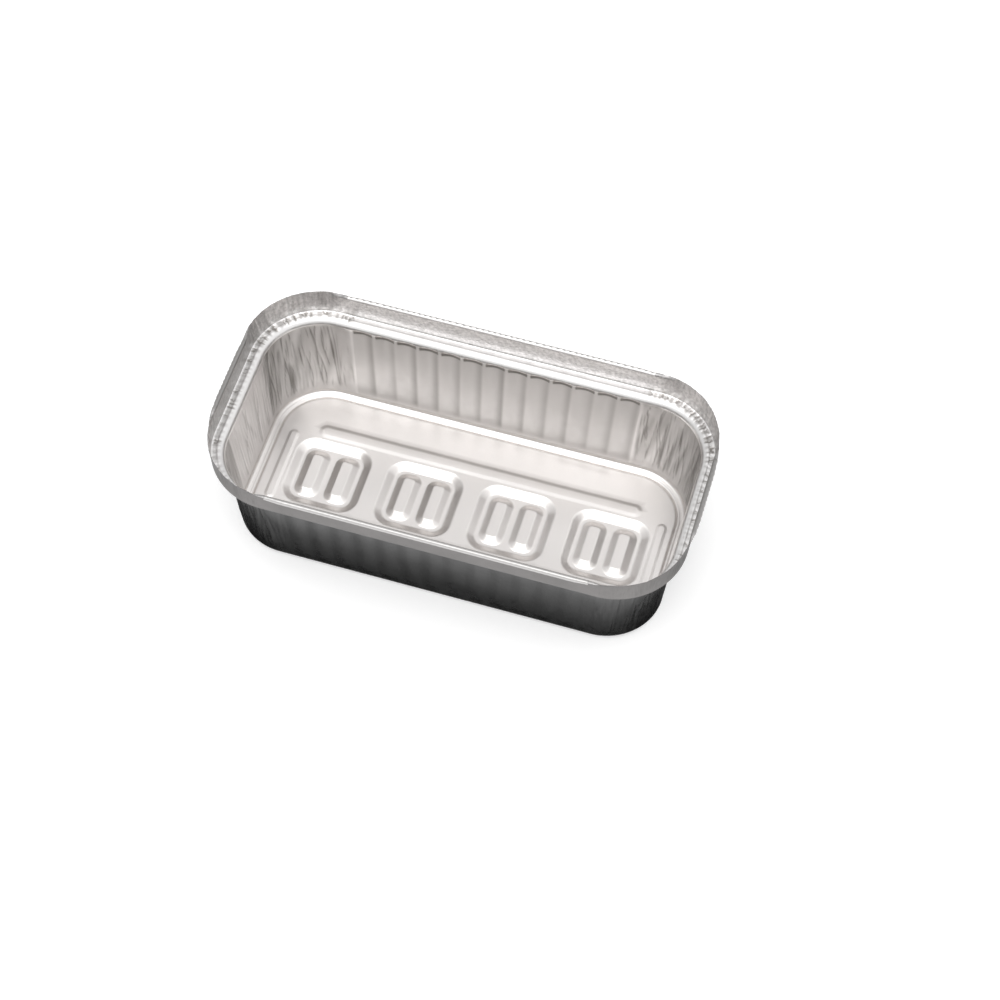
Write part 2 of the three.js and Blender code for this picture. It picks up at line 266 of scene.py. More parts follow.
base, flat_out = lay_out(
    column_side, column_along, column_round, side_inset, end_inset, row_radius, row_z
)
middle_row = (heel_row + wall_top_row) // 2
steps = np.linalg.norm(np.diff(base[middle_row], axis=0, append=base[middle_row][:1]), axis=1)
column_u = np.concatenate([[0], np.cumsum(steps)[:-1]])
round_trip = steps.sum()


def face_normals(grid, closed):
    ahead = np.roll(grid, -1, axis=1) if closed else grid[:, 1:]
    here = grid if closed else grid[:, :-1]
    return unit(np.cross(ahead[1:] - here[:-1], ahead[:-1] - here[1:]))


def grid_normals(grid, closed=False):
    """Unit normals of a grid of points, on the side that rows crossed with columns points to."""
    faces = face_normals(grid, closed)
    total = np.zeros_like(grid)
    if closed:
        both = faces + np.roll(faces, 1, axis=1)
        total[:-1] += both
        total[1:] += both
    else:
        total[:-1, :-1] += faces
        total[:-1, 1:] += faces
        total[1:, :-1] += faces
        total[1:, 1:] += faces
    return unit(total)


# Creases: ridges that run up the sheet, each with a size, width, lean and length of its own
crease_sizes = (0.35, 1.0)
crease_signs = [-1, 1]
crease_odds = [0.4, 0.6]
crease_widths = (0.6, 1.3)
crease_gaps = (0.6, 1.4)
crease_starts = (-0.25, 0.2)
crease_stops = (0.8, 1.25)
crease_fade = 0.15


def tent(x, half):
    return np.clip(1 - np.abs(x) / half, 0, 1)


def creases(u, v, start, end, pitch, depth, half, lean):
    """Sum of uneven ridges between start and end along u, as a grid over v and u."""
    total = np.zeros((len(v), len(u)))
    at = start
    while at < end:
        size = depth * draw.uniform(*crease_sizes) * draw.choice(crease_signs, p=crease_odds)
        width = half * draw.uniform(*crease_widths)
        tilt = draw.normal(0, lean)
        bend = draw.normal(0, lean / 2)
        low_v, high_v = draw.uniform(*crease_starts), draw.uniform(*crease_stops)
        path = at + tilt * (v - 0.5) + bend * np.sin(math.tau * v)
        gap = (u[None, :] - path[:, None] + round_trip / 2) % round_trip - round_trip / 2
        reach = smooth((v - low_v) / crease_fade) * smooth((high_v - v) / crease_fade)
        total += size * tent(gap, width) * reach[:, None]
        at += pitch * draw.uniform(*crease_gaps)
    return total


def ripples(u, v, lengths, depth, slant=0.0):
    """Gentle unevenness from a few long waves that close on themselves round the pan."""
    total = np.zeros((len(v), len(u)))
    for length in lengths:
        count = max(1, round(round_trip / length))
        phase, drift = draw.uniform(0, math.tau, 2)
        angle = math.tau * count * u[None, :] / round_trip + phase
        total += np.sin(angle + (drift + slant) * v[:, None]) * depth / len(lengths)
    return total


# Flutes of the long walls: shallow hollows pressed outwards between ribs, with arched tops
flute_depth = 0.7
flute_depth_swing = (0.85, 1.1)
flute_lean = 0.12
flute_reach = 0.9
flute_arch = 1.5
flute_head = 0.9
flute_foot = 5.0
flute_foot_depth = 0.35
rib_top = 0.5

# Painted shade of the flutes: a dark brow under each top, where the overhang shades it, and one flank
# darker
brow_shade = 0.78
brow_drop = 1.1
brow_half = 1.7
brow_sharpness = 1.5
flank_shade = 0.24
flank_shade_swing = (0.6, 1.2)
flank_start = 0.16
flank_fade = 0.36


def flutes():
    """Outward press of the flutes, and painted shade under their tops and on one flank."""
    press = np.zeros((len(rows), columns))
    lines = np.zeros((len(rows), columns))
    for k in (0, 2):
        here = np.where((column_side == k) & ~column_round)[0]
        spot = column_along[here] * heel_half - flute_start
        number = np.clip(spot // flute_pitch, 0, flute_count - 1).astype(int)
        across = spot / flute_pitch - number
        inside = (across >= 0) & (across <= 1)
        across = np.clip(across, 0, 1)
        depths = flute_depth * draw.uniform(*flute_depth_swing, flute_count)[number]
        leans = draw.uniform(-flute_lean, flute_lean, flute_count)[number]
        from_rib = flute_pitch * np.minimum(across, 1 - across)
        swing = 2 * across - 1
        bed = smooth(2 * from_rib / flute_pitch) * (1 + leans * swing)
        crown = wall_run + flute_reach - flute_arch * (1 - np.sqrt(np.clip(1 - swing ** 4, 0, 1)))
        below = crown[None, :] - run[:, None]
        head = smooth(below / flute_head)
        foot = smooth(run / flute_foot)[:, None]
        fade = foot * (flute_foot_depth + (1 - flute_foot_depth) * share[:, None])
        press[:, here] = (depths * bed * inside)[None, :] * head * fade
        # Painted shade under the overhang of each top, and on one flank of each flute
        brow = brow_shade * smooth(brow_sharpness * tent(below - brow_drop, brow_half))
        brow = brow * smooth((from_rib - rib_top) / rib_top)
        shades = flank_shade * draw.uniform(*flank_shade_swing, flute_count)[number]
        flank = shades * smooth((0.5 - across) / flank_fade) * smooth(across / flank_start) * head * foot
        lines[:, here] = inside * np.maximum(brow, flank)
    return press, lines


zone_fade_columns = 3
flute_clearance = 0.5


def zone(names):
    """1 on the columns of the named sides and corners, fading over a few columns beside them."""
    chosen = np.zeros(columns)
    beyond_flutes = np.abs(column_along) * heel_half > -flute_start + flute_clearance
    for k in range(4):
        if SIDES[k] in names:
            chosen[(column_side == k) & ~column_round] = 1
        if CORNERS[k] in names:
            chosen[(column_side == k) & column_round] = 1
            long_side = k if k % 2 == 0 else (k + 1) % 4
            near_half = column_along > 0 if k % 2 == 0 else column_along < 0
            chosen[(column_side == long_side) & ~column_round & beyond_flutes & near_half] = 1
    kernel = np.hanning(2 * zone_fade_columns + 1)
    padded = np.concatenate([chosen[-zone_fade_columns:], chosen, chosen[:zone_fade_columns]])
    return np.convolve(padded, kernel / kernel.sum(), mode="valid")


corner_zone = zone(CORNERS)
end_zone = zone(["left", "right"])
back_zone = zone(["back_left", "back_right"])

# Gathers: the spare foil of the corners and ends, creased up and down the wall
gather_start, gather_lead = 0.01, 0.1
gather_stop, gather_tail = 1.02, 0.05
fine_on_ends = 0.7
coarse_on_corners = 0.8
gather_rise = smooth((share - gather_start) / gather_lead)
gather_rise = gather_rise * smooth((gather_stop - share) / gather_tail) * wall_mask
fine_gathers = creases(column_u, share, 0, round_trip, pitch=0.95, depth=0.18, half=0.6, lean=1.5)
coarse_gathers = creases(column_u, share, 0, round_trip, pitch=4.5, depth=0.13, half=2.4, lean=2.4)
gathers = fine_gathers * (corner_zone + fine_on_ends * end_zone)
gathers += coarse_gathers * (coarse_on_corners * corner_zone + end_zone)
gathers *= gather_rise[:, None]
dents = ripples(column_u, share, lengths=[17, 23, 31, 47], depth=0.11, slant=4.0)
dents = dents * (corner_zone + end_zone)
dents += ripples(column_u, share, lengths=[60, 90, 140], depth=0.1, slant=2.0)
flute_press, sheet_painted_shade = flutes()
press = flute_press + gathers + dents * gather_rise[:, None]

# Painted shade of the walls, as shares of the way to the material's dark colour: darker gathered
# corners and ends, long walls darker above their foot, and dark valleys of the gathers
corner_shade = 0.57
corner_foot, corner_foot_share = 0.3, 0.6
end_wall_shade = 0.15
long_wall_shade = 0.47
wall_shade_start, wall_shade_lead = -0.06, 0.14
gather_shade, gather_full = 0.34, 0.17
corner_lift = corner_foot_share + (1 - corner_foot_share) * smooth(share / corner_foot)
shaded = np.maximum(np.outer(corner_lift, corner_shade * corner_zone), end_wall_shade * end_zone)
blotches = ripples(column_u, share, lengths=[5, 8, 13], depth=0.2, slant=5.0)
shaded = shaded * wall_mask[:, None] * (1 + blotches)
wall_rise = long_wall_shade * smooth((share - wall_shade_start) / wall_shade_lead) * wall_mask
wall_shade = np.outer(wall_rise, (1 - corner_zone) * (1 - end_zone))
sheet_painted_shade = np.maximum(sheet_painted_shade + wall_shade, shaded + gather_shade * smooth(gathers / gather_full))

# Ledge: a shallow channel beside the collar, with random wrinkles and more even pleats across it
channel_depth = 0.2
corner_wrinkles, back_wrinkles, end_wrinkles, least_wrinkles = 0.5, 0.6, 0.5, 0.03
wrinkle_shade, wrinkle_full = 0.9, 0.09
pleat_pitch = 2.6
pleat_wander, pleat_swing = 17, 2.2
pleat_level, pleat_contrast = 0.4, 0.8
pleat_depth = 0.07
pleat_shade = 0.5
row_inset = side_inset - foil
ledge_level = np.clip(row_inset / ledge_flat, 0, 1)


def ledge_profile(lead, overhang, tail):
    """1 over the ledge, from a short lead beside the collar to a tail past its inner edge."""
    profile = smooth(row_inset / lead) * smooth((ledge_flat + overhang - row_inset) / tail)
    return profile * (rows > wall_top_row)


channel = channel_depth * ledge_profile(lead=0.7, overhang=0.4, tail=0.9)
ledge_band = ledge_profile(lead=0.4, overhang=2.2, tail=1.6)
wrinkles = creases(column_u, ledge_level, 0, round_trip, pitch=1.5, depth=0.24, half=0.55, lean=0.4)
wrinkled = corner_wrinkles * corner_zone + back_wrinkles * back_zone
wrinkled = wrinkled + end_wrinkles * end_zone + least_wrinkles
wrinkles = wrinkles * wrinkled[None, :] * ledge_band[:, None]
pleat_phase = math.tau * column_u / pleat_pitch
pleat_phase = pleat_phase + pleat_swing * np.sin(math.tau * column_u / pleat_wander)
pleats = smooth(pleat_level + pleat_contrast * np.cos(pleat_phase)) * np.clip(wrinkled, 0, 1)
pleats = np.outer(ledge_band, pleats)
press += channel[:, None] + wrinkles + pleat_depth * pleats
# Painted shade in the valleys of the wrinkles and pleats
ledge_dark = np.maximum(wrinkle_shade * smooth(wrinkles / wrinkle_full), pleat_shade * pleats)
sheet_painted_shade = np.maximum(sheet_painted_shade, ledge_dark)

# Painted shade of the ring round the floor: the groove's inner slope and the top of the heel are darker,
# and the ring is greyed like the floor's middle, except beside the corners and ends
groove_shade = 0.45
floor_grey_shade = 0.095
heel_shade = 0.36
heel_shade_start, heel_shade_lead = 0.35, 0.5
inner_slope = tent(ring_reach - groove_inner + groove_slope / 2, groove_slope)
sheet_painted_shade[:len(ring_reach)] = groove_shade * inner_slope[:, None]
ring_shade = floor_grey_shade * (1 - np.clip(corner_zone + end_zone, 0, 1))
sheet_painted_shade[:heel_row] = np.maximum(sheet_painted_shade[:heel_row], ring_shade)
heel_share = (heel_z - floor_top) / heel_radius
heel_dark = heel_shade * smooth((heel_share - heel_shade_start) / heel_shade_lead)
heel_rows = slice(len(ring_reach), heel_row + 1)
sheet_painted_shade[heel_rows] = np.maximum(sheet_painted_shade[heel_rows], heel_dark[:, None])

# The two skins of the sheet. Normals stand upright at the edge of the flat panel.
outside_fade = 1.7
base_normal = grid_normals(base, closed=True)
base_normal[0] = (0, 0, 1)
skin = base - base_normal * press[:, :, None]
skin_normal = grid_normals(skin, closed=True)
skin_normal[0] = (0, 0, 1)
under = skin - base_normal * foil
under[fold_row] = skin[fold_row] + flat_out[fold_row] * foil - np.array([0, 0, foil])
# Painted shade of the outer faces, darker towards the bottom, like the shadowed floor that they mirror
outside_painted_shade = np.repeat((1 - share ** outside_fade)[:, None], columns, axis=1)


# Materials
cloud_span = (0.35, 0.68)
cloud_detail = 3
gloss_scale = 420
gloss_span = (0.3, 0.7)
gloss_detail = 2
rolling_stretch = (60, 2600, 2600)
rolling_detail = 2
rolling_strength = 0.2
rolling_depth = 0.00004
crinkle_detail = 3
crinkle_depth = 0.0002
# Numbers of the colour sockets on a mix node
mix_first, mix_second, mix_result = 6, 7, 2


def noise(tree, place, scale, detail):
    texture = tree.nodes.new("ShaderNodeTexNoise")
    texture.inputs["Scale"].default_value = scale
    texture.inputs["Detail"].default_value = detail
    tree.links.new(place, texture.inputs["Vector"])
    return texture.outputs["Fac"]


def relief(tree, height, strength, distance):
    bump = tree.nodes.new("ShaderNodeBump")
    bump.inputs["Strength"].default_value = strength
    bump.inputs["Distance"].default_value = distance
    tree.links.new(height, bump.inputs["Height"])
    return bump


def map_range(tree, value, from_span, to_span):
    span = tree.nodes.new("ShaderNodeMapRange")
    span.inputs["From Min"].default_value = from_span[0]
    span.inputs["From Max"].default_value = from_span[1]
    span.inputs["To Min"].default_value = to_span[0]
    span.inputs["To Max"].default_value = to_span[1]
    tree.links.new(value, span.inputs["Value"])
    return span


def cloudy_colour(tree, place, colour, tint, dark, cloud):
    """Clouds of two tints, which go over into the dark colour by the mesh's painted shade values."""
    ramp = tree.nodes.new("ShaderNodeValToRGB")
    for stop, spot, shade in zip(ramp.color_ramp.elements, cloud_span, (colour, tint)):
        stop.position = spot
        stop.color = (*shade, 1)
    tree.links.new(noise(tree, place, cloud, cloud_detail), ramp.inputs["Fac"])
    painted_shade = tree.nodes.new("ShaderNodeAttribute")
    painted_shade.attribute_name = "painted_shade"
    blend = tree.nodes.new("ShaderNodeMix")
    blend.data_type = "RGBA"
    tree.links.new(painted_shade.outputs["Fac"], blend.inputs["Factor"])
    tree.links.new(ramp.outputs["Color"], blend.inputs[mix_first])
    blend.inputs[mix_second].default_value = (*dark, 1)
    return blend.outputs[mix_result]


def crinkled_normal(tree, place, crinkle, fine):
    """Faint rolling lines along the pan, under a fine crinkle."""
    lengthwise = tree.nodes.new("ShaderNodeMapping")
    lengthwise.inputs["Scale"].default_value = rolling_stretch
    tree.links.new(place, lengthwise.inputs["Vector"])
    lines = noise(tree, lengthwise.outputs["Vector"], 1, rolling_detail)
    rolled = relief(tree, lines, rolling_strength, rolling_depth)
    crinkled = relief(tree, noise(tree, place, fine, crinkle_detail), crinkle, crinkle_depth)
    tree.links.new(rolled.outputs["Normal"], crinkled.inputs["Normal"])
    return crinkled.outputs["Normal"]


def foil_material(
    name, colour, tint, dark, roughness, roughness_swing, crinkle, sheen=1.0, fine=300, cloud=70
):
    """Aluminium foil: cloudy tint darkened by painted shade, uneven gloss and a fine crinkle."""
    material = bpy.data.materials.new(name)
    material.use_nodes = True
    tree = material.node_tree
    shader = tree.nodes["Principled BSDF"]
    shader.inputs["Metallic"].default_value = 1.0
    shader.inputs["Specular Tint"].default_value = (sheen, sheen, sheen, 1)
    place = tree.nodes.new("ShaderNodeTexCoord").outputs["Object"]
    shade = cloudy_colour(tree, place, colour, tint, dark, cloud)
    tree.links.new(shade, shader.inputs["Base Color"])
    spots = noise(tree, place, gloss_scale, gloss_detail)
    gloss = map_range(tree, spots, gloss_span, (roughness - roughness_swing, roughness + roughness_swing))
    tree.links.new(gloss.outputs["Result"], shader.inputs["Roughness"])
    tree.links.new(crinkled_normal(tree, place, crinkle, fine), shader.inputs["Normal"])
    return material


finishes = {
    "floor": foil_material(
        "foil_floor_bright",
        colour=(0.99, 0.955, 0.935),
        tint=(0.98, 0.95, 0.928),
        dark=(0.25, 0.22, 0.2),
        roughness=0.36,
        roughness_swing=0.03,
        crinkle=0.05,
    ),
    "wall": foil_material(
        "foil_wall_satin",
        colour=(0.9, 0.88, 0.874),
        tint=(0.88, 0.865, 0.855),
        dark=(0.19, 0.18, 0.17),
        roughness=0.36,
        roughness_swing=0.04,
        crinkle=0.1,
    ),
    "ledge": foil_material(
        "foil_ledge_bright",
        colour=(0.97, 0.955, 0.95),
        tint=(0.96, 0.95, 0.94),
        dark=(0.3, 0.28, 0.26),
        roughness=0.32,
        roughness_swing=0.04,
        crinkle=0.1,
    ),
    "collar": foil_material(
        "foil_collar_satin",
        colour=(0.88, 0.86, 0.855),
        tint=(0.63, 0.618, 0.612),
        dark=(0.13, 0.126, 0.12),
        roughness=0.4,
        roughness_swing=0.05,
        crinkle=0.75,
        fine=900,
        cloud=750,
    ),
    "curl": foil_material(
        "foil_curl_bright",
        colour=(0.92, 0.9, 0.89),
        tint=(0.9, 0.885, 0.87),
        dark=(0.1, 0.095, 0.09),
        roughness=0.32,
        roughness_swing=0.04,
        crinkle=0.1,
    ),
}
# Outer sides: the foil's dull side, darkened further by painted shade
dull_side_and_shade = foil_material(
    "foil_dull_side_and_shade",
    colour=(0.29, 0.29, 0.29),
    tint=(0.25, 0.25, 0.25),
    dark=(0.07, 0.07, 0.07),
    roughness=0.38,
    roughness_swing=0.05,
    crinkle=0.15,
    sheen=0.1,
)
satin_side_and_shade = foil_material(
    "foil_satin_side_and_shade",
    colour=(0.27, 0.26, 0.257),
    tint=(0.245, 0.237, 0.234),
    dark=(0.1, 0.097, 0.096),
    roughness=0.36,
    roughness_swing=0.05,
    crinkle=0.2,
    sheen=0.55,
)
under_floor = foil_material(
    "foil_under_floor",
    colour=(0.36, 0.36, 0.355),
    tint=(0.32, 0.32, 0.318),
    dark=(0.1, 0.1, 0.1),
    roughness=0.4,
    roughness_swing=0.05,
    crinkle=0.15,
)
backs = {"floor": under_floor, "wall": dull_side_and_shade, "ledge": dull_side_and_shade, "collar": satin_side_and_shade, "curl": satin_side_and_shade}


# Thin closed shells
def sheet_mesh(name, upper, lower, normals, faces, painted_shades, finish):
    """A closed sheet between two skins that share faces, with the skins' own smooth normals."""
    count = len(upper)
    starts = faces.ravel()
    ends = np.roll(faces, -1, axis=1).ravel()
    forward = starts.astype(np.int64) * count + ends
    backward = ends.astype(np.int64) * count + starts
    rim = ~np.isin(forward, backward)
    a, b = starts[rim], ends[rim]
    walls = np.stack([b, a, count + a, count + b], axis=1)
    points = np.concatenate([upper, lower]) * MM
    under_faces = np.roll(faces[:, ::-1], 1, axis=1) + count
    polygons = [*faces.tolist(), *under_faces.tolist(), *walls.tolist()]
    mesh = bpy.data.meshes.new(name)
    mesh.from_pydata(points.tolist(), [], polygons)
    mesh.polygons.foreach_set("use_smooth", np.ones(len(polygons), bool))
    back = np.ones(len(polygons), np.int32)
    back[:len(faces)] = 0
    mesh.polygons.foreach_set("material_index", back)
    # Painted shade values, which darken the base colour where shade would fall
    dark = mesh.attributes.new("painted_shade", "FLOAT", "POINT")
    dark.data.foreach_set("value", np.concatenate(painted_shades))
    mesh.materials.append(finishes[finish])
    mesh.materials.append(backs[finish])
    both = np.concatenate([normals, -normals])
    corner = points[walls]
    wall_normal = unit(np.cross(corner[:, 2] - corner[:, 0], corner[:, 3] - corner[:, 1]))
    split = np.concatenate([
        both[faces.ravel()],
        both[under_faces.ravel()],
        np.repeat(wall_normal, 4, axis=0),
    ])
    mesh.normals_split_custom_set(split.tolist())
    return mesh


def shell(name, upper, lower, normals, faces, painted_shades, finish, node=None, body="tray"):
    mesh = sheet_mesh(name, upper, lower, normals, faces, painted_shades, finish)
    piece = bpy.data.objects.new(name, mesh)
    bpy.context.scene.collection.objects.link(piece)
    if body:
        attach(piece, body)
    if node:
        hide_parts(node)
    return piece


def grid_faces(row_count, column_count, closed=False):
    spots = np.arange(row_count * column_count).reshape(row_count, column_count)
    here = spots if closed else spots[:, :-1]
    ahead = np.roll(spots, -1, axis=1) if closed else spots[:, 1:]
    quads = [here[:-1], here[1:], ahead[1:], ahead[:-1]]
    return np.stack(quads, axis=-1).reshape(-1, 4)


def grid_shell(name, upper, lower, normals, painted_shades, finish, node=None, body="tray", closed=False):
    height, width = upper.shape[:2]
    flat = [grid.reshape(-1, 3) for grid in (upper, lower, normals)]
    dark = [tones.ravel() for tones in painted_shades]
    return shell(name, *flat, grid_faces(height, width, closed), dark, finish, node, body)


def side_columns(k):
    return np.arange(first_column[k], first_column[k] + len(side_alongs[k]))


def round_columns(k):
    start = first_column[k] + len(side_alongs[k]) - 1
    return np.arange(start, start + len(corner_alongs) + 2) % columns


def skin_piece(node, first, last, chosen, finish, closed=False):
    pick = np.ix_(np.arange(first, last + 1), chosen)
    skins = (skin[pick], under[pick], skin_normal[pick])
    painted_shades = (sheet_painted_shade[pick], outside_painted_shade[pick])
    grid_shell(node + "_foil", *skins, painted_shades, finish, node, closed=closed)


skin_piece("heel_ring", 0, heel_row, np.arange(columns), "floor", closed=True)
for k in range(4):
    skin_piece("wall_" + SIDES[k], heel_row, wall_top_row, side_columns(k), "wall")
    skin_piece("wall_corner_" + CORNERS[k], heel_row, wall_top_row, round_columns(k), "wall")
    skin_piece("ledge_" + SIDES[k], wall_top_row, fold_row, side_columns(k), "ledge")
    skin_piece("ledge_corner_" + CORNERS[k], wall_top_row, fold_row, round_columns(k), "ledge")


# Floor: sunk pads with raised ribs, and raised beads, as heights over the panel
long_bead_slope = 2.4
end_bead_slope = 1.6
pad_corner_radius = 8.5
pad_slope = 4.4
rib_rise = 1.8
rib_slope = 3.9
rib_roundness = 0.8
rib_gap = 1.6
rib_side_margin = 0.6
rib_end_margin = 0.55
# Rise of the beads in the sheet, as shares of the solids' rise
long_bead_share = 0.4
end_bead_share = 0.5
panel_radius = wall_radius - ring_width
least_radius = 0.3
least_round_steps = 3
shortest_edge = 0.01


def rounded_distance(x, y, centre, half, radius):
    """Distance from the outline of a rectangle with round corners, negative inside."""
    dx = np.abs(x - centre[0]) - (half[0] - radius)
    dy = np.abs(y - centre[1]) - (half[1] - radius)
    outside = np.hypot(np.maximum(dx, 0), np.maximum(dy, 0))
    return outside + np.minimum(np.maximum(dx, dy), 0) - radius


def rounded_loop(centre, half, radius, spacing):
    """Points round that outline, counter-clockwise."""
    points = []
    for k in range(4):
        hub = np.array(half) - radius
        hub = hub * np.array([1 if k in (0, 3) else -1, 1 if k < 2 else -1])
        steps_round = max(least_round_steps, math.ceil(QUARTER * radius / spacing))
        for i in range(steps_round + 1):
            angle = QUARTER * (k + i / steps_round)
            points.append(hub + radius * np.array([math.cos(angle), math.sin(angle)]))
    loop = []
    for here, ahead in zip(points, points[1:] + points[:1]):
        gap = float(np.linalg.norm(ahead - here))
        pieces = max(1, round(gap / spacing))
        if gap > shortest_edge:
            loop += [here + (ahead - here) * j / pieces for j in range(pieces)]
    return np.array(loop) + np.array(centre)


def panel_distance(x, y):
    return rounded_distance(x, y, (0, 0), (panel_half_length, panel_half_width), panel_radius)


class Emboss:
    """A pressed outline: the floor changes by rise over the slope inside it."""

    def __init__(self, node, centre, half, radius, slope, rise):
        self.node, self.centre, self.half = node, np.array(centre), np.array(half)
        self.radius, self.slope, self.rise = radius, slope, rise

    def distance(self, x, y):
        return rounded_distance(x, y, self.centre, self.half, self.radius)

    def height(self, x, y):
        return self.rise * ramp_up(-self.distance(x, y) / self.slope)

    def loop(self, inset, spacing):
        radius = max(self.radius - inset, least_radius)
        return rounded_loop(self.centre, self.half - inset, radius, spacing)


def emboss_from(node, radius, slope, rise):
    lowest, highest = low(node), high(node)
    half = (highest - lowest)[:2] / 2
    return Emboss(node, ((lowest + highest) / 2)[:2], half, min(radius, *half), slope, rise)


bead_slopes = [long_bead_slope, end_bead_slope] * 2
bead_shares = [long_bead_share, end_bead_share] * 2
beads = []
for side, slope, rise_share in zip(SIDES, bead_slopes, bead_shares):
    node = "floor_bead_" + side
    rise = (high(node)[2] - floor_top) * rise_share
    beads.append(emboss_from(node, half_length, slope, rise))
pad_nodes = ["floor_pad_" + str(n) for n in range(1, 5)]
pad_drop = low(pad_nodes[0])[2] + foil - floor_top
pads = [emboss_from(node, pad_corner_radius, pad_slope, pad_drop) for node in pad_nodes]
ribs = []
for pad in pads:
    bed_half = pad.half - pad_slope
    width = bed_half[0] - rib_side_margin - rib_gap / 2
    half = np.array([width / 2, bed_half[1] - rib_end_margin])
    for turn in (-1, 1):
        centre = pad.centre + np.array([turn * (width + rib_gap) / 2, 0])
        ribs.append(Emboss(None, centre, half, rib_roundness * width / 2, rib_slope, rib_rise))
embossed = [*beads, *pads, *ribs]

# Faint waves of the floor, which die out at its edge and in the pads
wave_count = 7
wave_height = 0.035
wave_lengths = (14, 40)
wave_edge = 4
wave_way = draw.uniform(0, math.tau, wave_count)
wave_length = draw.uniform(*wave_lengths, wave_count)
wave_phase = draw.uniform(0, math.tau, wave_count)


def floor_height(x, y):
    z = np.full_like(x, floor_top)
    for form in embossed:
        z = z + form.height(x, y)
    calm = smooth(-panel_distance(x, y) / wave_edge)
    for pad in pads:
        calm = calm * (1 - ramp_up(-pad.distance(x, y) / pad.slope))
    for way, length, phase in zip(wave_way, wave_length, wave_phase):
        along = x * math.cos(way) + y * math.sin(way)
        z = z + wave_height * calm * np.sin(math.tau * along / length + phase)
    return z


slope_rings = 7
ring_spacing = 1.1
grid_spacing = 2.4
weld_distance = 1e-5
least_area = 1e-7


def floor_mesh():
    """Triangles over the panel that keep to the outlines, with rings of points on each slope."""
    points = []
    edges = []

    def add(loop, outline):
        first = sum(len(part) for part in points)
        points.append(loop)
        if outline:
            edges.extend((first + i, first + (i + 1) % len(loop)) for i in range(len(loop)))

    add(skin[0][:, :2], True)
    for form in embossed:
        for i in range(slope_rings + 1):
            add(form.loop(form.slope * i / slope_rings, ring_spacing), i in (0, slope_rings))
    xs, ys = np.meshgrid(
        np.arange(-panel_half_length, panel_half_length, grid_spacing),
        np.arange(-panel_half_width, panel_half_width, grid_spacing),
    )
    xs, ys = xs.ravel(), ys.ravel()
    clear = panel_distance(xs, ys) < -grid_spacing / 2
    for form in embossed:
        gap = form.distance(xs, ys)
        clear &= (gap > grid_spacing / 2) | (gap < -form.slope - grid_spacing / 2)
    add(np.stack([xs, ys], axis=1)[clear], False)
    corners = [Vector(p) for p in np.concatenate(points)]
    made = delaunay_2d_cdt(corners, edges, [], 0, weld_distance)
    flat = np.array([tuple(v) for v in made[0]])
    faces = np.array(made[2])
    one, two, three = flat[faces[:, 0]], flat[faces[:, 1]], flat[faces[:, 2]]
    area = np.cross(two - one, three - one)
    faces = np.where((area < 0)[:, None], faces[:, ::-1], faces)
    return flat, faces[np.abs(area) > least_area]


floor_flat, floor_faces = floor_mesh()
fx, fy = floor_flat[:, 0], floor_flat[:, 1]
nudge = 0.05
rise_x = (floor_height(fx + nudge, fy) - floor_height(fx - nudge, fy)) / (2 * nudge)
rise_y = (floor_height(fx, fy + nudge) - floor_height(fx, fy - nudge)) / (2 * nudge)
floor_skin = np.stack([fx, fy, floor_height(fx, fy)], axis=1)
floor_normal = unit(np.stack([-rise_x, -rise_y, np.ones_like(fx)], axis=1))
floor_under = floor_skin - floor_normal * foil
middle = floor_flat[floor_faces].mean(axis=1)
owner = np.full(len(floor_faces), -1)
forms = [*beads, *pads]
for i, form in enumerate(forms):
    owner[form.distance(middle[:, 0], middle[:, 1]) < 0] = i

# Painted light and shade of the floor: darker left slopes of the pads and ribs on the left,
# a greyed middle that leaves the ends and the back strip lighter, pad slopes on the right left light,
# and darker far slopes of the long beads
slope_shade = 0.42
steep = 0.35
slope_shade_end, slope_shade_fade = 16, 36
pad_row_reach = 25
grey_left, grey_left_fade = -78, 36
grey_right, grey_right_fade = 86, 24
grey_past_bead, grey_back_fade = 5, 8
light_slopes_start, light_slopes_fade = 10, 30
bead_shade = 0.6
bead_shade_half = 0.85
in_pad_row = np.abs(fy - pads[0].centre[1]) < pad_row_reach
floor_shade = slope_shade * smooth(rise_x / steep) * smooth((slope_shade_end - fx) / slope_shade_fade)
floor_shade = floor_shade * in_pad_row
grey_back = beads[2].centre[1] + grey_past_bead
greyed = smooth((fx - grey_left) / grey_left_fade) * smooth((grey_right - fx) / grey_right_fade)
greyed = floor_grey_shade * greyed * smooth((grey_back - fy) / grey_back_fade)
light_slopes = smooth(np.abs(rise_x) / steep) * smooth((fx - light_slopes_start) / light_slopes_fade)
floor_shade = np.maximum(floor_shade, greyed * (1 - light_slopes))
for bead in beads[::2]:
    slope_middle = -bead.distance(fx, fy) - bead.slope / 2
    far_slope = tent(slope_middle, bead.slope * bead_shade_half) * (fy > bead.centre[1])
    floor_shade = np.maximum(floor_shade, bead_shade * far_slope)


def floor_piece(node, faces):
    used, renumbered = np.unique(faces, return_inverse=True)
    parts = (floor_skin[used], floor_under[used], floor_normal[used])
    painted_shades = (floor_shade[used], np.zeros(len(used)))
    shell(node + "_foil", *parts, renumbered.reshape(faces.shape), painted_shades, "floor", node)


floor_piece("floor_panel", floor_faces[owner == -1])
for i, form in enumerate(forms):
    floor_piece(form.node, floor_faces[owner == i])


# Collar corners: creased foil with a raw edge, between gussets
gusset_turn = 16 / 90
flat_columns = 4
gusset_columns = 22
arc_columns = 90
first_cut = flat_columns + gusset_columns - 2
last_cut = first_cut + arc_columns - 1
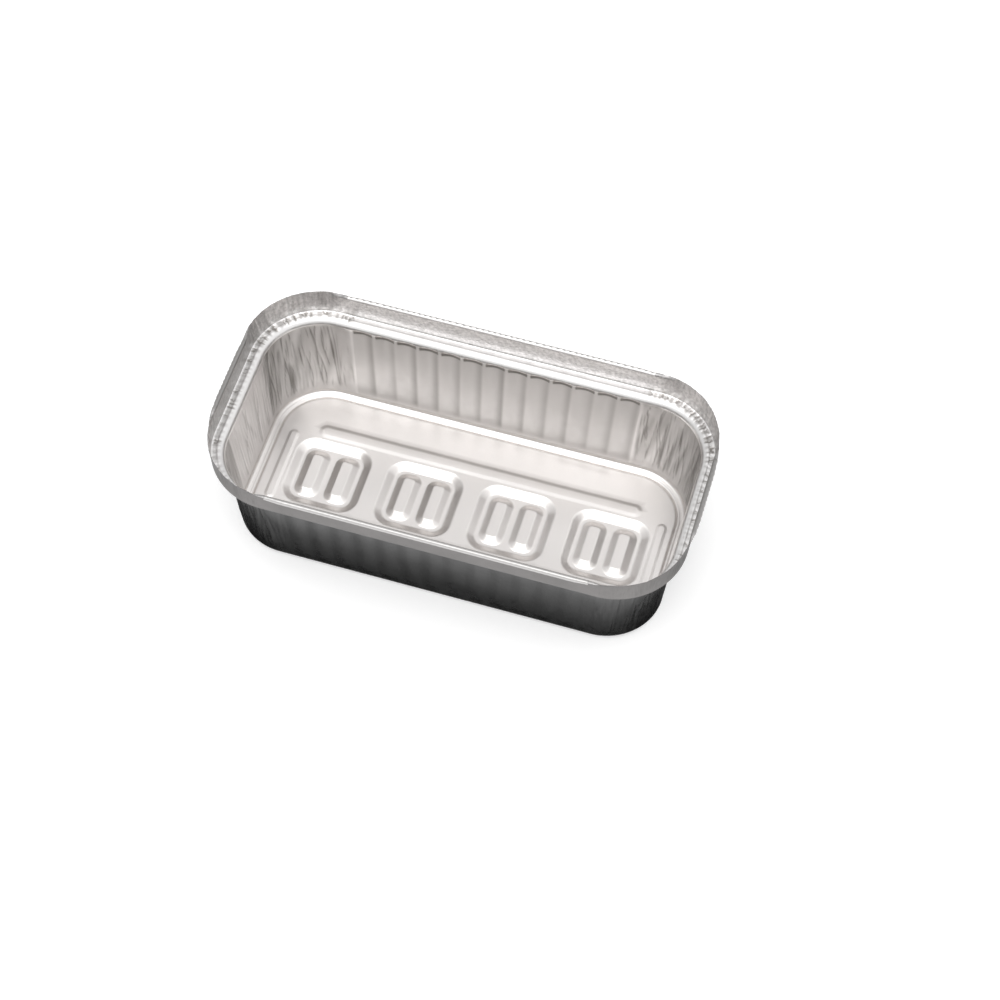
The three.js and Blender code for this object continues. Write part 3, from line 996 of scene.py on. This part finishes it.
# Outward lean of the raw edge beside the long sides and the ends, in the order of CORNERS
long_side_flare = [0.2, 1.9, 1.9, 0.4]
end_side_flare = [0.2, 0.5, 1.9, 0.4]
flare_start = 9.0
flare_curve = 1.5
hold_reach = 3
settle_reach = 14
crease_foot = 0.3
edge_wave = 0.12
curl_start = 0.8
curl_squeeze = 0.84
unroll_turn = math.radians(140)

# Painted shade of the collar, its ends and its curls: darker ends and back, a darker front curl,
# dark fold creases, and darker outer faces at the ends
end_collar_shade = 0.46
back_collar_shade = 0.13
middle_collar_shade = 0.02
collar_shade_falloff = 4
front_curl_shade = 0.42
end_curl_shade = 0.66
end_outside_shade = 0.5
outside_falloff = 3
streak_shade, streak_full = 0.22, 0.14

collar_level = stretch((0, curl_start, 9), (curl_start, 1, 8))
collar_z = ledge_height + (corner_top - ledge_height) * collar_level
collar_inset = np.full(len(collar_level), foil)
collar_radii = np.full(len(collar_level), corner_radius - foil)
straight_half = [half_length - corner_radius, half_width - corner_radius] * 2


def collar_grid(k):
    after = (k + 1) % 4
    start = flange_half[k] / straight_half[k]
    end = flange_half[after] / straight_half[after]
    alongs = np.concatenate([
        np.linspace(start, 1, flat_columns),
        np.linspace(0, gusset_turn, gusset_columns)[1:],
        np.linspace(gusset_turn, 1 - gusset_turn, arc_columns)[1:],
        np.linspace(1 - gusset_turn, 1, gusset_columns)[1:-1],
        -np.linspace(1, end, flat_columns),
    ])
    round_count = len(alongs) - 2 * flat_columns
    sides = np.array([k] * (flat_columns + round_count) + [after] * flat_columns)
    rounds = np.array([False] * flat_columns + [True] * round_count + [False] * flat_columns)
    return lay_out(sides, alongs, rounds, collar_inset, collar_inset, collar_radii, collar_z)


def ends_fade(u, reach):
    """0 at both ends of a stretch and 1 from reach inwards."""
    return smooth(u / reach) * smooth((u[-1] - u) / reach)


def curl_profile():
    """Where the collar's levels are rolled beside a flange, how far out they are and how high."""
    roll = unroll_turn * np.clip((collar_level - curl_start) / (1 - curl_start), 0, 1)
    radius = curl_radius * curl_squeeze
    height = ledge_height + (flange_top - ledge_height) * np.minimum(collar_level / curl_start, 1)
    return roll > 0, radius * (1 - np.cos(roll)), height + radius * np.sin(roll)


def collar_corner(k):
    """Both skins of a corner and its gussets, their normals, and the painted shade inside and outside."""
    grid, normal = collar_grid(k)
    gaps = np.linalg.norm(np.diff(grid[0], axis=0), axis=1)
    u = np.concatenate([[0], np.cumsum(gaps)])
    length = u[-1]
    hold, settled, opening = [ends_fade(u, reach) for reach in (hold_reach, settle_reach, flare_start)]
    rolled, curl_reach, curl_z = curl_profile()
    near_long_side = smooth((u if k % 2 else length - u) / length)
    lean = end_side_flare[k] + (long_side_flare[k] - end_side_flare[k]) * near_long_side
    flare = np.outer(collar_level ** flare_curve, lean * opening) + np.outer(curl_reach, 1 - opening)
    fold = creases(u, collar_level, 0, length, pitch=0.8, depth=0.16, half=0.42, lean=0.6)
    fold += creases(u, collar_level, 0, length, pitch=5.0, depth=0.12, half=2.6, lean=1.5)
    fold *= hold * smooth(collar_level / crease_foot)[:, None]
    grid = grid + normal * flare[:, :, None]
    edge = ripples(u, np.zeros(1), lengths=[3.1, 4.7, 7.9], depth=edge_wave)[0] * hold
    grid[:, :, 2] += np.outer(curl_z - collar_z, 1 - opening) + np.outer(collar_level ** 2, edge)
    # Painted shade: darker ends, darker rolled parts beside the flanges and dark fold creases, inside and
    # outside
    middle = middle_collar_shade * settled
    shaded = middle + (end_collar_shade - middle) * (1 - near_long_side) ** collar_shade_falloff
    rolled_shade = np.outer(rolled, front_curl_shade * (1 - opening))
    fold_crease_shade = streak_shade * smooth(fold / streak_full)
    inside = np.clip(np.maximum(shaded[None, :], rolled_shade) + fold_crease_shade, 0, 1)
    outside = end_outside_shade * (1 - near_long_side)[None, :] ** outside_falloff
    outside = np.clip(outside + fold_crease_shade, 0, 1)
    outer = grid - grid_normals(grid) * foil
    outer[0] = grid[0] + normal[0] * foil - np.array([0, 0, foil])
    folded = normal * fold[:, :, None]
    grid, outer = grid + folded, outer + folded
    return grid, outer, grid_normals(grid), inside, outside


def gusset(name, cut, grids):
    *skins, inner, outer = [g[:, cut] for g in grids]
    piece = grid_shell(name, *skins, (inner, outer), "collar", body=None)
    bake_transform(piece)


for k in range(4):
    grids = collar_corner(k)
    name = CORNERS[k]
    node = "collar_corner_" + name
    *skins, inner, outer = [g[:, first_cut:last_cut + 1] for g in grids]
    grid_shell(node + "_foil", *skins, (inner, outer), "collar", node)
    gusset("gusset_" + name + "_" + SIDES[k], slice(0, first_cut + 1), grids)
    after = (k + 1) % 4
    gusset("gusset_" + name + "_" + SIDES[after], slice(last_cut, None), grids)


# Flanges: straight foil with a slight wave, and a rolled edge that flattens at its ends
fold_gap = 0.04
flange_levels = 9
flange_wave = 0.05
flange_wave_lengths = (13, 29, 53)
fold_shade = 0.55
fold_shade_reach = 0.16
curl_sweep = math.radians(300)
curl_levels = 19
curl_density = 6
curl_end = 7.0
curl_cap = 0.03
cap_squeeze = 0.12
curl_notch = 2.7
notch_depth = 0.15
notch_wander, notch_swing = 37, 1.5
knurl_turn, knurl_lead = 1.2, 0.5
# Values of the four sides, in the order of SIDES: the curls' notch depth and its painted shade,
# and the painted shade of the curls, of the flanges and of their outer faces
curl_knurl = [0.14, 0.45, 0.6, 0.45]
curl_shade = [front_curl_shade, end_curl_shade, 0, end_curl_shade]
flange_shade = [0, end_collar_shade, back_collar_shade, end_collar_shade]
flange_outside_shade = [0, end_outside_shade, 0, end_outside_shade]


def flange_strip(k, node, x, reach, height, tones, finish):
    """A sheet along a side, out by reach from the fold line, that rides on the flange."""
    fold = (half_width if k % 2 == 0 else half_length) - foil
    grid = (fold + reach)[:, :, None] * outward(k) + x[None, :, None] * outward(k + 1)
    grid[:, :, 2] = height
    facing = grid_normals(grid)
    skins = (grid, grid - facing * foil, facing)
    grid_shell(node + "_foil", *skins, tones, finish, node, SIDES[k] + "_flange")


def flange(k):
    half = flange_half[k]
    x = np.linspace(-half, half, int(half) + 1)
    level = np.linspace(0, 1, flange_levels)
    swings = [np.sin(math.tau * x / length + draw.uniform(0, math.tau)) for length in flange_wave_lengths]
    wave = flange_wave * sum(swings) / len(swings)
    bow = np.outer(np.sin(math.pi * level), wave)
    height = ledge_height + fold_gap + (flange_top - ledge_height - fold_gap) * level
    # Painted shade along the fold
    fold_line = np.repeat(fold_shade * tent(level, fold_shade_reach)[:, None], len(x), axis=1)
    inside = np.maximum(flange_shade[k], fold_line)
    outside = np.full(inside.shape, flange_outside_shade[k])
    flange_strip(k, "flange_" + SIDES[k], x, bow, height[:, None], (inside, outside), "collar")


def curl(k):
    half = flange_half[k]
    x = np.linspace(-half + curl_cap, half - curl_cap, int(half * curl_density) + 1)
    x = np.concatenate([[-half], x, [half]])
    turns = np.linspace(0, curl_sweep, curl_levels)
    squeeze = curl_squeeze + (1 - curl_squeeze) * smooth((half - np.abs(x)) / curl_end)
    squeeze[[0, -1]] = cap_squeeze
    drift = notch_swing * np.sin(math.tau * x / notch_wander)
    notch = 0.5 + 0.5 * np.cos(math.tau * x / curl_notch + drift)
    radius = curl_radius * squeeze * (1 - notch_depth * curl_knurl[k] * notch)
    roll = np.outer(1 - np.cos(turns), radius)
    lift = np.outer(np.sin(turns), radius)
    # Painted shade in the bottoms of the notches and over each curl by side
    knurl = np.outer(smooth(turns / knurl_turn - knurl_lead), curl_knurl[k] * notch ** 2)
    tone = np.maximum(knurl, curl_shade[k])
    flange_strip(k, "curl_" + SIDES[k], x, roll, flange_top + lift, (tone, tone), "curl")


for k in range(4):
    flange(k)
    curl(k)


# Floor of the studio: white paper that glows a little to the camera and in mirror images
paper_half = 6.0
paper_drop = 0.00005
paper_white = (0.86, 0.86, 0.86, 1)
paper_roughness = 0.9
paper_sheen = 0.1
paper_glow = 0.36


def math_node(tree, operation, *sockets):
    node = tree.nodes.new("ShaderNodeMath")
    node.operation = operation
    for place, socket in enumerate(sockets):
        tree.links.new(socket, node.inputs[place])
    return node


def studio_paper():
    paper = bpy.data.materials.new("studio_paper")
    paper.use_nodes = True
    tree = paper.node_tree
    shader = tree.nodes["Principled BSDF"]
    shader.inputs["Base Color"].default_value = paper_white
    shader.inputs["Roughness"].default_value = paper_roughness
    shader.inputs["Specular IOR Level"].default_value = paper_sheen
    shader.inputs["Emission Color"].default_value = (1, 1, 1, 1)
    path = tree.nodes.new("ShaderNodeLightPath")
    glossy, through = path.outputs["Is Glossy Ray"], path.outputs["Is Transmission Ray"]
    mirrored = math_node(tree, "MAXIMUM", glossy, through)
    seen = math_node(tree, "MAXIMUM", path.outputs["Is Camera Ray"], mirrored.outputs["Value"])
    glow = math_node(tree, "MULTIPLY", seen.outputs["Value"])
    glow.inputs[1].default_value = paper_glow
    tree.links.new(glow.outputs["Value"], shader.inputs["Emission Strength"])
    return paper


def studio_floor():
    size = paper_half
    mesh = bpy.data.meshes.new("studio_floor")
    corners = [(-size, -size, 0), (size, -size, 0), (size, size, 0), (-size, size, 0)]
    mesh.from_pydata(corners, [], [(0, 1, 2, 3)])
    floor = bpy.data.objects.new("studio_floor", mesh)
    floor.location.z = -paper_drop
    bpy.context.scene.collection.objects.link(floor)
    mesh.materials.append(studio_paper())


# Light of the studio: a soft dome that is brighter at the front right, and a softbox overhead
dome_way, dome_span, dome_strengths = (0.5, -0.5, 0.7), (0.0, 0.5), (0.66, 0.9)
softbox_way, softbox_span, softbox_strengths = (0, -0.3, 0.95), (0.85, 0.95), (0.0, 1.45)


def light_from(tree, place, way, span, strengths):
    """Light that changes between two strengths as the cosine to its way crosses a span."""
    aim = tree.nodes.new("ShaderNodeVectorMath")
    aim.operation = "DOT_PRODUCT"
    aim.inputs[1].default_value = Vector(way).normalized()
    tree.links.new(place, aim.inputs[0])
    light = map_range(tree, aim.outputs["Value"], span, strengths)
    light.interpolation_type = "SMOOTHSTEP"
    return light.outputs["Result"]


def studio_light():
    world = bpy.data.worlds.new("studio_dome")
    bpy.context.scene.world = world
    world.use_nodes = True
    tree = world.node_tree
    place = tree.nodes.new("ShaderNodeTexCoord").outputs["Generated"]
    dome = light_from(tree, place, dome_way, dome_span, dome_strengths)
    softbox = light_from(tree, place, softbox_way, softbox_span, softbox_strengths)
    total = math_node(tree, "ADD", dome, softbox)
    background = tree.nodes["Background"]
    tree.links.new(total.outputs["Value"], background.inputs["Strength"])
    background.inputs["Color"].default_value = (1, 1, 1, 1)


studio_floor()
studio_light()


# Camera at the photograph's angle
def camera():
    azimuth, elevation = math.radians(17.095), math.radians(56.38)
    distance = 0.9847
    sensor = 36
    frame_pixels = 1000
    focal_pixels = 2406
    offset_right, offset_up = 36.6, -50.7
    back = Vector((
        math.sin(azimuth) * math.cos(elevation),
        -math.cos(azimuth) * math.cos(elevation),
        math.sin(elevation),
    ))
    right = Vector((math.cos(azimuth), math.sin(azimuth), 0))
    up = back.cross(right)
    forward = -back + right * (offset_right / focal_pixels) + up * (offset_up / focal_pixels)
    data = bpy.data.cameras.new("camera")
    data.sensor_width = sensor
    data.lens = sensor * focal_pixels / frame_pixels * forward.length
    view = bpy.data.objects.new("camera", data)
    bpy.context.scene.collection.objects.link(view)
    view.location = Vector((0, 0, ledge_height * MM)) + back * distance
    forward.normalize()
    level = (right - forward * right.dot(forward)).normalized()
    view.rotation_euler = Matrix((level, level.cross(forward), -forward)).transposed().to_euler()
    bpy.context.scene.camera = view


camera()
bpy.context.scene.view_settings.view_transform = "Standard"
